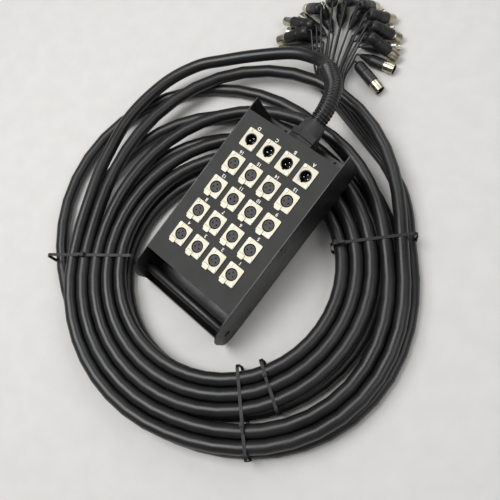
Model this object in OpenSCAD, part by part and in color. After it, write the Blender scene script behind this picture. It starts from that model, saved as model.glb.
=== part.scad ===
// Stage box with a coiled multicore cable: sixteen sends and four returns.
// The box leans: its near edge rests on the floor and its far end on the coil.
// Box coordinates: X across, Y along (far end +), Z up from the base's underside.

/* [Box] */
// Width over the two cheeks
box_w = 176; // [170:1:190]
// Height of the cheeks
box_h = 75; // [74:1:90]
// Thickness of the sheet steel
sheet_t = 1.6; // [1.2:0.1:2]
// Length of the top panel
panel_l = 261; // [258:1:280]
// Distance from the near row of sockets to the panel's near edge
near_margin = 48; // [30:1:50]
// Length of the cheeks past the far wall
far_ear = 21; // [17:1:30]
// Length of the cheeks past the near wall
near_ear = 51.5; // [46:0.5:60]
// Radius of the rolled edge at the near end of the base
lip_r = 18; // [14:1:20]
// Radius of the cheeks' rounded nose
nose_r = 37; // [30:1:40]
// Angle at which the box leans on the coil
tilt = 11; // [10:0.5:14]
// Diameter of the mounting holes in the base
base_hole_d = 5; // [4:0.5:6]
// Distance between the mounting holes
base_hole_gap = 100; // [80:5:120]

/* [Carry bar] */
// Outer diameter of the carry bar
bar_d = 14; // [12:0.5:16]
// Wall of the carry bar
bar_wall = 1.5; // [1:0.1:2]
// Height of the bar's axis above the base
bar_h = 34; // [30:1:40]
// Distance of the bar's axis from the cheeks' near tip
bar_back = 21.5; // [20:0.5:26]

/* [Panel sockets] */
// Distance between columns
col_pitch = 35; // [34:0.5:38]
// Distance between rows
row_pitch = 44; // [43:0.5:46]
// Width of a socket plate
plate_w = 26; // [26:0.5:28]
// Length of a socket plate
plate_l = 31; // [31:0.5:33]
// Thickness of a socket plate
plate_t = 2; // [1.8:0.1:2.6]
// Diameter of a socket's body below the plate
shell_d = 23.6; // [23.4:0.1:24.4]
// Depth of a socket's body below the panel
shell_l = 23; // [21:1:26]
// Bore of a female socket
socket_d = 19.2; // [19:0.1:19.6]
// Diameter of the female insert
insert_d = 16; // [15.8:0.1:16.2]
// Bore of a male socket
cup_d = 17; // [16.8:0.1:17.4]
// Distance of the contacts from the socket's axis
contact_r = 4; // [3.8:0.1:4.2]
// Diameter of a pin
pin_d = 2.4; // [2.2:0.1:2.5]
// Distance of the plate screws from the axis, across
screw_x = 9.5; // [9.3:0.1:9.8]
// Distance of the plate screws from the axis, along
screw_y = 12; // [11.8:0.1:12.4]
// Diameter of the screws' shanks
screw_d = 3; // [2.5:0.1:3]
// Travel of a push tab
tab_travel = 1.2; // [0.8:0.1:1.3]
// Width of a push tab
tab_w = 10.5; // [9.5:0.5:10.5]

/* [Gland and hose] */
// Width across the flats of the gland's hexagons
gland_af = 42; // [41:0.5:44]
// Diameter of the gland's thread
gland_thread_d = 36; // [35:0.5:37]
// Height of the gland's axis above the base
gland_h = 38; // [34:1:40]
// Outer diameter of the ribbed hose
hose_d = 28.5; // [28:0.25:30]
// Bore of the ribbed hose
hose_bore = 23.4; // [23.2:0.1:24]
// Depth of the grooves between ribs
rib_depth = 1.15; // [0.6:0.05:1.2]
// Distance between ribs
rib_pitch = 5.2; // [5:0.1:5.4]

/* [Multicore] */
// Diameter of the multicore
cable_d = 21; // [19:0.5:21]
// Gap between neighbouring loops
loop_gap = 0.6; // [0.6:0.1:1.2]
// Gap between the two layers
layer_gap = 0.8; // [0.6:0.1:1.2]
// Radius of the coil's innermost loop, to the cable's middle
hole_r = 170; // [165:1:180]
// How far the coil's hole is drawn out to one side
hole_dr = 8; // [0:1:10]
// Height of the coil above the floor, on its ties
coil_lift = 1.3; // [1.2:0.1:2]
// How far the upper layer's outer loop swings out
upper_swing = 179; // [120:1:185]
// How far the lower layer's outer loop swings out
lower_swing = 140; // [100:1:145]
// How far the outer loops bulge beside the short tie
side_bulge = 18; // [14:1:20]

/* [Tails and plugs] */
// Diameter of a tail
tail_d = 3.6; // [3:0.1:3.8]
// Diameter of a plug's body
plug_d = 20; // [18.5:0.1:20.2]
// Diameter of a plug's metal barrel
barrel_d = 18.4; // [18:0.1:18.4]
// Wall of the barrel
barrel_wall = 1.1; // [0.8:0.1:1.3]
// Length of a plug's boot
boot_l = 22; // [18:1:24]
// Length of a plug's body
body_l = 26; // [24:1:30]
// Length of barrel that shows
barrel_l = 19; // [17:1:22]
// Diameter of a return plug's nose
nose_d = 15.8; // [15.6:0.1:16.2]
// Travel of a release button
button_travel = 1; // [0.5:0.1:1.1]

/* [Cable ties] */
// Width of a tie's strap
tie_w = 4.8; // [3.6:0.2:5]
// Thickness of a tie's strap
tie_t = 1.2; // [0.9:0.1:1.2]
// Room left between a tie and the loops
tie_slack = 2; // [1.8:0.1:3]

/* [Hidden] */
$fn = 40;

black = [0.07, 0.07, 0.075];
panel_grey = [0.13, 0.13, 0.135];
rubber_black = [0.05, 0.05, 0.055];
nickel = [0.8, 0.78, 0.7];
steel = [0.75, 0.75, 0.76];
brass = [0.8, 0.65, 0.3];
insert_grey = [0.42, 0.42, 0.45];

cols = 4;
rows = 5;
slip = 0.05;
fit_gap = 0.2;
eps = 0.01;

// Box: the middle row of sockets is at y = 0
near_y = -2 * row_pitch - near_margin;
far_y = near_y + panel_l;
near_tip = near_y - near_ear;
far_tip = far_y + far_ear;
lip_cy = near_tip + lip_r;
nose_cy = near_tip + nose_r;
nose_cz = box_h - nose_r;
lid_w = box_w - 2 * sheet_t - 2 * fit_gap;
base_hole_y = far_tip - 6;
bar_y = near_tip + bar_back;
slit_xs = [-24, 69];
slit_w = 1.4;
slit_h = 14;
side_screw_spots = [[-15, box_h - 6], [far_y - 14, 8], [near_y + 14, 8]];
side_head_d = 5.5;
side_head_t = 0.8;
side_screw_l = 7;
tab_l = 16;
tab_h = 13;

// Row frame: the rolled edge rests on the floor, the box's outline is centred on the origin
nose_low = (nose_cy - lip_cy) * cos(tilt) - (nose_cz - lip_r) * sin(tilt) - nose_r;
far_low = (far_tip - lip_cy) * cos(tilt) + lip_r * sin(tilt);
origin_y = -(min(-lip_r, nose_low) + far_low) / 2;

function lean(v) = [v.x, v.y * cos(tilt) - v.z * sin(tilt), v.y * sin(tilt) + v.z * cos(tilt)];
function row(p) = [0, origin_y, lip_r] + lean(p - [0, lip_cy, lip_r]);
module in_box() translate([0, origin_y, lip_r]) rotate([tilt, 0, 0]) translate([0, -lip_cy, -lip_r]) children();

// Sockets: row 0 is the far row and holds the males, the females are numbered from the near right
function spot(i, j) = [(i - (cols - 1) / 2) * col_pitch, (2 - j) * row_pitch, box_h];
function female_spot(n) = spot(cols - 1 - (n - 1) % cols, rows - 1 - floor((n - 1) / cols));
contact_angles = [90, 200, 340];
male_angles = [90, 200, 340];
shell_floor = 3;
cutout_d = shell_d + 0.5;
head_d = 5.4;
head_t = 0.9;
screw_l = 8;
tab_gap = 0.25;
tab_x = -tab_w / 2 - 0.5;
tab_out = 3.2;
tab_in = 10.4;
tab_t = 1.5;
stem_w = 5;
stem_l = 2;
stem_y = -13;
stem_h = 8;
spring_t = 0.4;
boss_h = 6;
key_w = 3.6;
key_d = 2;
cup_wall = 1;
cup_floor = 4;
pin_recess = 6;
tail_stub = 4;

// Gland, along the box's Y from the far wall
hex_t = 10;
thread_in = 9;
nut_t = 6;
dome_gap = 1;
dome_hex_t = 10;
gland_l = 42;
collar_d = 33;
dome_end_d = 34;
hose_seat = 12;
gland_bore = cable_d + 1;
seal_d = 29;
seal_l = 8;
gland_bore_cut = gland_bore + 0.6;
hose_y = far_y + gland_l - hose_seat;
hose_run = 5.5 * rib_pitch;
inner_end_y = far_y - 17;

// Coil: polar about its own centre, angles anticlockwise from +X
coil_c = [10, -55];
start_a = 210;
turn_a = 90;
end_a = 40;
loops_up = 4 + (turn_a + 360 - start_a) / 360;
loops_low = 4 + (end_a + 360 - turn_a) / 360;
loop_pitch = cable_d + loop_gap;
layer_h = cable_d + layer_gap;
low_z = coil_lift + cable_d / 2;
up_z = low_z + layer_h;
rings_per_loop = 24;
hole_a = -35;
upper_mid = 124;
upper_half = 90;
lower_mid = 160;
lower_half = 95;
bulge_mid = -12;
bulge_half = 60;

function wrap(a) = a - 360 * floor((a + 180) / 360);
function swing(a, mid, half) = abs(wrap(a - mid)) < half ? (1 + cos(180 * wrap(a - mid) / half)) / 2 : 0;
function smooth(x) = x < 0 ? 0 : x > 1 ? 1 : x * x * (3 - 2 * x);
function inner_r(a) = hole_r + hole_dr * cos(a - hole_a);
function bulge(a, out) = side_bulge * smooth((out - 2.7) / 0.6) * swing(a, bulge_mid, bulge_half);
function upper_r(a, out) = inner_r(a) + loop_pitch * out + bulge(a, out)
    + upper_swing * pow(out / loops_up, 3) * swing(a, upper_mid, upper_half);
function lower_r(a, out) = inner_r(a) + loop_pitch * out + bulge(a, out)
    + lower_swing * pow(out / loops_low, 2) * swing(a, lower_mid, lower_half);
function coil_pt(k) = let(
    a = start_a + 360 * k,
    r = k < loops_up ? upper_r(a, loops_up - k) : lower_r(a, k - loops_up),
    z = up_z - layer_h * smooth(2 * (k - loops_up) + 0.5)
) [coil_c.x + r * cos(a), coil_c.y + r * sin(a), z];
loops = loops_up + loops_low;
coil_steps = round(loops * rings_per_loop);
coil_loop_pts = [for (i = [0:coil_steps]) coil_pt(loops * i / coil_steps)];
function unit(v) = v / norm(v);
coil_in = coil_loop_pts[0] - cable_d * unit(coil_pt(0.01) - coil_pt(0));
coil_out = coil_loop_pts[coil_steps] + cable_d * unit(coil_pt(loops) - coil_pt(loops - 0.01));
coil_pts = concat([coil_in], coil_loop_pts, [coil_out]);

function path_len(p) = len(p) < 2 ? 0 : let(d = [for (i = [1:len(p) - 1]) norm(p[i] - p[i - 1])]) d * [for (x = d) 1];
far_apart = rings_per_loop / 2;
coil_gap = min([for (i = [0:len(coil_pts) - 1 - far_apart]) for (j = [i + far_apart:len(coil_pts) - 1])
    norm(coil_pts[i] - coil_pts[j])]) - cable_d;
echo(least_gap_of_the_coil_to_itself = coil_gap, coil_length = path_len(coil_pts));

// Smooth curve through points, with a tangent given at each end
function curve(p, steps, first, last) = let(
    q = concat([p[1] - 2 * first], p, [p[len(p) - 2] + 2 * last])
) [for (i = [0:len(p) - 2]) for (s = [0:steps - 1 + (i == len(p) - 2 ? 1 : 0)])
    let(t = s / steps, a = q[i], b = q[i + 1], c = q[i + 2], d = q[i + 3])
    0.5 * (2 * b + (c - a) * t + (2 * a - 5 * b + 4 * c - d) * t * t + (3 * b - a - 3 * c + d) * t * t * t)];

// Hose and lead: from inside the box, through the gland and hose, over the coil's top
box_y_dir = lean([0, 1, 0]);
hose_start = row([0, hose_y, gland_h]);
hose_bend = row([0, hose_y + hose_run, gland_h]);
hose_way = [[-5, 223, 108], [-17, 246, 106], [-35, 264, 99], [-54, 279, 88]];
hose_out = [-16, 11, -11];
lead_way = [
    [-72, 290, 78], [-98, 294, 69], [-140, 286, 61], [-195, 250, 55], [-243, 216, 46],
    [-283, 182, 39], [-311, 122, 36], [-317, 35, 35], [-294, -52, 34], [-271, -104, 34]
];
hose_curve = concat([hose_bend], hose_way);
hose_pts = concat(
    [for (i = [0:10]) hose_start + box_y_dir * hose_run * i / 11],
    curve(hose_curve, 10, box_y_dir * 13, hose_out)
);
coil_in_dir = unit(coil_loop_pts[0] - coil_in);
lead_curve = concat([hose_way[3]], lead_way, [coil_in - 5 * coil_in_dir]);
lead_pts = concat(
    [row([0, inner_end_y, gland_h]), hose_start],
    curve(hose_curve, 3, box_y_dir * 13, hose_out),
    [for (i = [1:1:2 * len(lead_way) + 2]) curve(lead_curve, 2, hose_out, coil_in_dir * 9)[i]],
    [coil_in]
);
echo(lead_length = path_len(lead_pts), hose_length = path_len(hose_pts));

// Breakout: the multicore's end runs on under the coil's outer loop
boot_start = [128, 214, 11.8];
boot_dir = unit([-80, 42, 0]);
break_l = 34;
break_d = 22.4;
end_way = [[180, 174, 11.8], [150, 201, 11.8]];
coil_out_dir = unit(coil_out - coil_loop_pts[coil_steps]);
end_curve = concat([coil_out + 5 * coil_out_dir], end_way, [boot_start - 4 * boot_dir]);
end_pts = concat([coil_out], curve(end_curve, 2, coil_out_dir * 9, boot_dir * 8), [boot_start]);

// Plugs: ten lie flat in a fan about one point, and ten lean between them, nose down, counted from the left
fan_c = [-110, 372];
fan_n = 10;
fan_from = 218;
fan_to = 6;
fan_r = 32;
lane_gap = 4.6;
bundle_gap = tail_d + 0.15;
push_low = [9, 4, 3, 3, 10, 9, 6, 1, 9, 13];
push_up = [22, 20, 28, 29, 29, 28, 27, 24, 22, 24];
turn_up = [-2, 2, 0, 0, 0, 0, 0, 0, 0, -12];
dip_up = [30, 18, 40, 44, 44, 46, 42, 42, 40, 6];
lift_up = [0, 8, 0, 0, 0, 0, 0, 0, 2, 0];
return_plugs = [3, 9, 12, 16];
blunt_d = 12;
blunt_l = 8;
plug_l = boot_l + body_l + barrel_l;
fan_step = (fan_from - fan_to) / (fan_n - 1);

function is_return(i) = len(search(i, return_plugs)) > 0;
function plug_low(i) = i % 2 == 0;
function plug_k(i) = floor(i / 2);
function plug_az(i) = fan_from - fan_step * (plug_k(i) + (plug_low(i) ? 0 : 0.5))
    + (plug_low(i) ? 0 : 1 + turn_up[plug_k(i)]);
function plug_dip(i) = plug_low(i) ? 0 : dip_up[plug_k(i)];
function tip_d(i) = is_return(i) ? nose_d : barrel_d;
function plug_z(i) = plug_low(i) ? plug_d / 2
    : plug_l * sin(plug_dip(i)) + tip_d(i) / 2 * cos(plug_dip(i)) + 0.2 + lift_up[plug_k(i)];
function plug_dir(i) = [cos(plug_az(i)) * cos(plug_dip(i)), sin(plug_az(i)) * cos(plug_dip(i)), -sin(plug_dip(i))];
function plug_entry(i) = let(
    r = fan_r + (plug_low(i) ? push_low[plug_k(i)] : push_up[plug_k(i)])
) [fan_c.x + r * cos(plug_az(i)), fan_c.y + r * sin(plug_az(i)), plug_z(i)];
module at_plug(i) translate(plug_entry(i)) rotate([0, 90 + plug_dip(i), plug_az(i)]) children();
sends = [for (i = [0:2 * fan_n - 1]) if (!is_return(i)) i];

// Tails: four rows of five at the boot, spread into lanes before the fan
boot_end = boot_start + boot_dir * break_l;
across = [boot_dir.y, -boot_dir.x, 0];
lane_mid = [-76, 297];
lane_dir = unit([-34, 75, 0]);
lane_side = [lane_dir.y, -lane_dir.x, 0];
function lane(i) = plug_k(i) - (fan_n - 1) / 2;
function lane_z(i) = tail_d / 2 + 0.4 + bundle_gap * (plug_k(i) % 2 + (plug_low(i) ? 0 : 2));
function tail_pts(i) = let(e = plug_entry(i), d = plug_dir(i)) [
    boot_end + across * (floor(plug_k(i) / 2) - 2) * bundle_gap
        + [0, 0, (plug_k(i) % 2 - (plug_low(i) ? 1.5 : -0.5)) * bundle_gap],
    [lane_mid.x, lane_mid.y, lane_z(i)] + lane_side * lane(i) * lane_gap,
    e - d * 7,
    e
];

// Ties: a strap round the coil at an angle, with its head on top
tie_left_a = 217;
tie_right_a = 45;
tie_bottom_a = -43;
tie_inner_a = -31;
tie_round = 9;
head_w = 7.5;
head_l = 6.5;
head_h = 4.6;

// Tube of any section along points that never run upright; section points are [side, up]
function frame_t(p, i) = unit(i == 0 ? p[1] - p[0] : i == len(p) - 1 ? p[i] - p[i - 1]
    : unit(p[i + 1] - p[i]) + unit(p[i] - p[i - 1]));
function ring(p, i, section) = let(
    t = frame_t(p, i), s = unit(cross(t, [0, 0, 1])), u = cross(s, t)
) [for (q = section) p[i] + s * q.x + u * q.y];
function round_section(r, n) = [for (k = [0:n - 1]) [r * cos(360 * (k + 0.5) / n), r * sin(360 * (k + 0.5) / n)]];
function wall_faces(m, n, from, flip) = [for (i = [0:m - 2]) for (k = [0:n - 1])
    let(a = from + i * n + k, b = from + i * n + (k + 1) % n, c = b + n, d = a + n)
    each flip ? [[a, c, b], [a, d, c]] : [[a, b, c], [a, c, d]]];
module tube(p, section) {
    n = len(section);
    m = len(p);
    pts = [for (i = [0:m - 1]) each ring(p, i, section)];
    faces = concat(
        wall_faces(m, n, 0, false),
        [for (k = [1:n - 2]) [0, k + 1, k]],
        [for (k = [1:n - 2]) [(m - 1) * n, (m - 1) * n + k, (m - 1) * n + k + 1]]
    );
    polyhedron(pts, faces);
}
// Tube with ribs outside and a smooth bore
module ribbed_tube(p, r_out, r_groove, r_bore, n) {
    m = len(p);
    outer = [for (i = [0:m - 1]) each ring(p, i, round_section(i % 2 == 1 ? r_out : r_groove, n))];
    inner = [for (i = [0:m - 1]) each ring(p, i, round_section(r_bore, n))];
    faces = concat(
        wall_faces(m, n, 0, false),
        wall_faces(m, n, m * n, true),
        [for (k = [0:n - 1]) let(a = k, b = (k + 1) % n, c = m * n + b, d = m * n + a) each [[a, c, b], [a, d, c]]],
        [for (k = [0:n - 1]) let(s = (m - 1) * n, a = s + k, b = s + (k + 1) % n, c = m * n + b, d = m * n + a)
            each [[a, b, c], [a, c, d]]]
    );
    polyhedron(concat(outer, inner), faces);
}
// Six-sided section as wide and as high as the cable
function cable_section(r) = [[r, 0], [r / 2, r], [-r / 2, r], [-r, 0], [-r / 2, -r], [r / 2, -r]];

module plate(w, l, t, r) {
    translate([-w / 2 + r, -l / 2, 0]) cube([w - 2 * r, l, t]);
    translate([-w / 2, -l / 2 + r, 0]) cube([w, l - 2 * r, t]);
    for (x = [-1, 1]) for (y = [-1, 1]) translate([x * (w / 2 - r), y * (l / 2 - r), 0]) cylinder(r = r, h = t);
}
// Cylinder along the box's Y from y0 to y1 on the gland's axis
module along_gland(d, y0, y1, sides = 60) translate([0, y0, gland_h]) rotate([-90, 0, 0])
    rotate(sides == 6 ? 30 : 0) cylinder(d = d, h = y1 - y0, $fn = sides);

// Box
module cheek_outline() {
    translate([near_tip + nose_r, 0]) square([far_tip - near_tip - nose_r, box_h]);
    translate([nose_cy, nose_cz]) circle(r = nose_r, $fn = 80);
    translate([near_tip, lip_r]) square([nose_r, nose_cz - lip_r]);
    translate([lip_cy, lip_r]) circle(r = lip_r, $fn = 60);
    translate([lip_cy, 0]) square([nose_r - lip_r, lip_r + 1]);
}
module cheek() rotate([90, 0, 90]) linear_extrude(sheet_t) difference() {
    cheek_outline();
    translate([bar_y, bar_h]) circle(d = bar_d + 2 * slip);
    for (s = side_screw_spots) translate(s) circle(d = screw_d + 0.2);
}
module chassis() color(black) in_box() {
    difference() {
        union() {
            translate([-box_w / 2, 0, 0]) cheek();
            translate([box_w / 2 - sheet_t, 0, 0]) cheek();
            translate([-box_w / 2, lip_cy, 0]) cube([box_w, far_tip - lip_cy, sheet_t]);
            translate([-box_w / 2, lip_cy, lip_r]) rotate([90, 0, 90]) linear_extrude(box_w) intersection() {
                difference() {
                    circle(r = lip_r, $fn = 60);
                    circle(r = lip_r - sheet_t, $fn = 60);
                }
                translate([-lip_r, -lip_r]) square(lip_r);
            }
        }
        for (s = [-1, 1]) translate([s * base_hole_gap / 2, base_hole_y, -1]) cylinder(d = base_hole_d, h = sheet_t + 2);
    }
}
module side_tab(y, z) translate([-lid_w / 2, y, z]) difference() {
    translate([0, -tab_l / 2, -tab_h / 2]) cube([sheet_t, tab_l, tab_h]);
    translate([-1, 0, 0]) rotate([0, 90, 0]) cylinder(d = screw_d + 0.2, h = sheet_t + 2);
}
module lid_panel() color(panel_grey) in_box() difference() {
    union() {
        translate([-lid_w / 2, near_y, box_h - sheet_t]) cube([lid_w, panel_l, sheet_t]);
        for (y = [near_y, far_y - sheet_t]) translate([-lid_w / 2, y, sheet_t]) cube([lid_w, sheet_t, box_h - sheet_t]);
        for (m = [0, 1]) mirror([m, 0, 0]) {
            side_tab(side_screw_spots[0].x, box_h - tab_h / 2);
            side_tab(far_y - tab_l / 2 - 1, side_screw_spots[1].y + 0.5);
            side_tab(near_y + tab_l / 2 + 1, side_screw_spots[2].y + 0.5);
        }
    }
    for (m = [0, 1]) mirror([m, 0, 0]) for (s = side_screw_spots)
        translate([-lid_w / 2 - 1, s.x, s.y]) rotate([0, 90, 0]) cylinder(d = screw_d + 0.2, h = sheet_t + 2);
    for (i = [0:cols - 1]) for (j = [0:rows - 1]) translate(spot(i, j)) {
        translate([0, 0, -sheet_t - 1]) cylinder(d = cutout_d, h = sheet_t + 2);
        for (s = [-1, 1]) translate([-s * screw_x, s * screw_y, -sheet_t - 1]) cylinder(d = screw_d + 0.2, h = sheet_t + 2);
        if (j > 0) translate([tab_x - stem_w / 2 - 0.5, stem_y - stem_l / 2 - 0.5, -sheet_t - 1])
            cube([stem_w + 1, stem_l + 1, sheet_t + 2]);
    }
    along_gland(gland_thread_d + 0.4, far_y - sheet_t - 1, far_y + 1);
    for (x = slit_xs) translate([x - slit_w / 2, near_y - 1, box_h - sheet_t - slit_h]) cube([slit_w, sheet_t + 2, slit_h]);
}
module carry_bar() color(black) in_box() translate([-box_w / 2, bar_y, bar_h]) rotate([0, 90, 0]) difference() {
    cylinder(d = bar_d, h = box_w);
    translate([0, 0, -1]) cylinder(d = bar_d - 2 * bar_wall, h = box_w + 2);
}
module side_screws() color(steel) in_box() for (m = [0, 1]) mirror([m, 0, 0]) for (s = side_screw_spots)
    translate([-box_w / 2, s.x, s.y]) rotate([0, 90, 0]) {
        translate([0, 0, -side_head_t]) cylinder(d = side_head_d, h = side_head_t);
        cylinder(d = screw_d, h = side_screw_l);
    }

// Sockets
module plate_holes() for (s = [-1, 1]) translate([-s * screw_x, s * screw_y, -1]) cylinder(d = screw_d + 0.2, h = plate_t + 2);
module panel_screws() color(nickel) in_box() for (i = [0:cols - 1]) for (j = [0:rows - 1])
    translate(spot(i, j)) for (s = [-1, 1]) translate([-s * screw_x, s * screw_y, 0]) {
        translate([0, 0, plate_t]) cylinder(d = head_d, h = head_t);
        translate([0, 0, plate_t - screw_l]) cylinder(d = screw_d, h = screw_l);
    }
module female_flange() difference() {
    union() {
        plate(plate_w, plate_l, plate_t, 2);
        translate([0, 0, -shell_l]) cylinder(d = shell_d, h = shell_l + 1);
        translate([tab_x - stem_w / 2, stem_y - stem_l / 2 - 0.6, -stem_h - tab_travel - boss_h - 1])
            cube([stem_w, -stem_y - shell_d / 2 + stem_l / 2 + 3.6, boss_h]);
    }
    translate([0, 0, shell_floor - shell_l]) cylinder(d = socket_d, h = shell_l + plate_t);
    for (a = contact_angles) rotate(a) translate([contact_r, 0, -shell_l - 1]) cylinder(d = pin_d + 1, h = shell_floor + 2);
    translate([tab_x - tab_w / 2 - tab_gap, -plate_l / 2 - 1, -eps])
        cube([tab_w + 2 * tab_gap, plate_l / 2 + 1 - tab_in + tab_gap, plate_t + 1]);
    plate_holes();
}
module female_flanges() color(nickel) in_box() for (n = [1:16]) translate(female_spot(n)) female_flange();
module female_inserts() color(insert_grey) in_box() for (n = [1:16]) translate(female_spot(n)) difference() {
    translate([0, 0, shell_floor - shell_l]) cylinder(d = insert_d, h = shell_l - shell_floor + 1.2);
    for (a = contact_angles) rotate(a) translate([contact_r, 0, -shell_l]) cylinder(d = pin_d + 0.2, h = shell_l + 3);
}
module contact_tube() difference() {
    translate([0, 0, -shell_l - 5]) cylinder(d = pin_d + 0.1, h = shell_l + 4);
    translate([0, 0, -14]) cylinder(d = 1.6, h = 20);
}
module female_contacts() color(brass) in_box() for (n = [1:16]) translate(female_spot(n))
    for (a = contact_angles) rotate(a) translate([contact_r, 0, 0]) contact_tube();
module latch(n) color(nickel) in_box() translate(female_spot(n)) {
    translate([tab_x - tab_w / 2, -plate_l / 2 - tab_out + tab_w / 4, plate_t + 0.9 - tab_t])
        cube([tab_w, plate_l / 2 + tab_out - tab_w / 4 - tab_in, tab_t]);
    translate([tab_x, -plate_l / 2 - tab_out + tab_w / 4, plate_t + 0.9 - tab_t])
        plate(tab_w, tab_w / 2, tab_t, 2.4);
    translate([tab_x - stem_w / 2, stem_y - stem_l / 2, -stem_h]) cube([stem_w, stem_l, stem_h + plate_t + 0.9 - tab_t + eps]);
}
module latch_springs() color(steel) in_box() for (n = [1:16]) translate(female_spot(n)) {
    translate([tab_x - stem_w / 2, stem_y - stem_l / 2 - 0.4, -stem_h - tab_travel - 1]) cube([stem_w, 3, spring_t]);
    translate([tab_x - stem_w / 2, stem_y, -stem_h - tab_travel - 1 + spring_t]) rotate([0, 90, 0]) cylinder(r = 0.3, h = stem_w);
}
module male_flanges() color(nickel) in_box() for (i = [0:cols - 1]) translate(spot(i, 0)) difference() {
    union() {
        plate(plate_w, plate_l, plate_t, 2);
        translate([0, 0, -shell_l]) cylinder(d = shell_d, h = shell_l + 1);
    }
    translate([0, 0, -shell_l - 1]) cylinder(d = cup_d + 2 * cup_wall + 2 * slip, h = shell_l + plate_t + 2);
    translate([-key_w / 2, -cup_d / 2 - key_d, plate_t - 6]) cube([key_w, key_d + 2, 7]);
    plate_holes();
}
module male_cups() color(rubber_black) in_box() for (i = [0:cols - 1]) translate(spot(i, 0)) difference() {
    translate([0, 0, -shell_l]) cylinder(d = cup_d + 2 * cup_wall, h = shell_l + plate_t - 0.3);
    translate([0, 0, cup_floor - shell_l]) cylinder(d = cup_d, h = shell_l + plate_t);
    translate([-key_w / 2, -cup_d / 2 - key_d, plate_t - 6]) cube([key_w, key_d + 2, 7]);
    for (a = male_angles) rotate(a) translate([contact_r, 0, -shell_l - 1]) cylinder(d = pin_d, h = cup_floor + 2);
}
module male_pins() color(steel) in_box() for (i = [0:cols - 1]) translate(spot(i, 0))
    for (a = male_angles) rotate(a) translate([contact_r, 0, -shell_l - 5]) {
        cylinder(d = pin_d, h = shell_l + 5 + plate_t - pin_recess - pin_d / 2);
        translate([0, 0, shell_l + 5 + plate_t - pin_recess - pin_d / 2]) sphere(d = pin_d, $fn = 24);
    }

// Gland
module gland_body() color(panel_grey) in_box() difference() {
    union() {
        along_gland(gland_thread_d, far_y - sheet_t - thread_in, far_y + eps);
        along_gland(gland_af / cos(30), far_y, far_y + hex_t, 6);
        along_gland(collar_d, far_y + hex_t - eps, far_y + hex_t + 6);
    }
    along_gland(gland_bore_cut, far_y - sheet_t - thread_in - 1, far_y + hex_t + 7);
    along_gland(seal_d, far_y + hex_t + 6 - seal_l, far_y + hex_t + 7);
}
module gland_locknut() color(panel_grey) in_box() difference() {
    along_gland(gland_af / cos(30), far_y - sheet_t - nut_t, far_y - sheet_t, 6);
    along_gland(gland_thread_d + 2 * slip, far_y - sheet_t - nut_t - 1, far_y);
}
module gland_seal() color(rubber_black) in_box() difference() {
    along_gland(seal_d - 2 * slip, far_y + hex_t + 6 - seal_l, far_y + hex_t + 6);
    along_gland(cable_d, far_y + hex_t + 5 - seal_l, far_y + hex_t + 7);
}
module gland_dome_nut() color(panel_grey) in_box() difference() {
    union() {
        along_gland(gland_af / cos(30), far_y + hex_t + dome_gap, far_y + hex_t + dome_gap + dome_hex_t, 6);
        translate([0, far_y + hex_t + dome_gap + dome_hex_t - eps, gland_h]) rotate([-90, 0, 0])
            cylinder(d1 = gland_af - 1, d2 = dome_end_d, h = gland_l - hex_t - dome_gap - dome_hex_t + eps, $fn = 60);
    }
    along_gland(collar_d + 2 * slip, far_y + hex_t, far_y + hex_t + 6.1);
    along_gland(gland_bore_cut, far_y + hex_t, hose_y + eps);
    along_gland(hose_d + 0.3, hose_y, hose_y + hose_seat + 1);
}
module ribbed_hose() color(rubber_black)
    ribbed_tube(hose_pts, hose_d / 2, hose_d / 2 - rib_depth, hose_bore / 2, 8);

// Multicore
module lead_cable() color(black) tube(lead_pts, round_section(cable_d / 2, 12));
module coil() color(black) tube(coil_pts, cable_section(cable_d / 2));
module end_cable() color(black) tube(end_pts, round_section(cable_d / 2, 12));
module breakout_boot() color(rubber_black) translate(boot_start) rotate([0, 0, atan2(boot_dir.y, boot_dir.x)]) rotate([0, 90, 0]) cylinder(d = break_d, h = break_l);
function wire_pts(i, j) = let(s = spot(i, j), z = 8 + 6 * (rows - 1 - j)) [
    row([(i - 1.5) * 4, inner_end_y, gland_h + (2 - j) * 3.4]),
    row([(i - 1.5) * 4, inner_end_y - 3, gland_h + (2 - j) * 3.4]),
    row([s.x * (0.5 + 0.12 * (rows - 1 - j)), s.y + 14, z]),
    row([s.x, s.y, box_h - shell_l - 5 - tail_stub])
];
module inner_wires() color(rubber_black) for (i = [0:cols - 1]) for (j = [0:rows - 1])
    tube(wire_pts(i, j), round_section(tail_d / 2 - 0.4, 8));

// Tails and plugs
module send_tails() color(rubber_black) for (i = sends) tube(tail_pts(i), round_section(tail_d / 2, 8));
module return_tails() color(rubber_black) for (i = return_plugs) tube(tail_pts(i), round_section(tail_d / 2, 8));
module plug_boot(blunt) if (blunt) {
    cylinder(d1 = blunt_d, d2 = plug_d, h = blunt_l);
    translate([0, 0, blunt_l - eps]) cylinder(d = plug_d, h = boot_l - blunt_l + eps);
} else cylinder(d1 = tail_d + 2.8, d2 = plug_d, h = boot_l);
module plug_body(d, blunt) {
    plug_boot(blunt);
    difference() {
        translate([0, 0, boot_l - eps]) cylinder(d = plug_d, h = body_l + eps);
        translate([0, 0, boot_l + 6]) cylinder(d = d, h = body_l);
    }
}
module plug_barrel(d) difference() {
    translate([0, 0, boot_l + 6]) cylinder(d = d, h = body_l - 6 + barrel_l);
    translate([0, 0, boot_l + 5]) cylinder(d = d - 2 * barrel_wall, h = body_l + barrel_l);
}
cup_depth = 14.5;
plug_floor = plug_l - cup_depth;
module send_bodies() color(rubber_black) for (i = sends) at_plug(i) plug_body(barrel_d, !plug_low(i));
module send_barrels() color(nickel) for (i = sends) at_plug(i) plug_barrel(barrel_d);
module send_inserts() color(rubber_black) for (i = sends) at_plug(i) difference() {
    translate([0, 0, boot_l + 6]) cylinder(d = barrel_d - 2 * barrel_wall - 2 * slip, h = plug_floor - boot_l - 6);
    for (a = male_angles) rotate(a) translate([contact_r, 0, plug_floor - 6]) cylinder(d = pin_d, h = 10);
}
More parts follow.
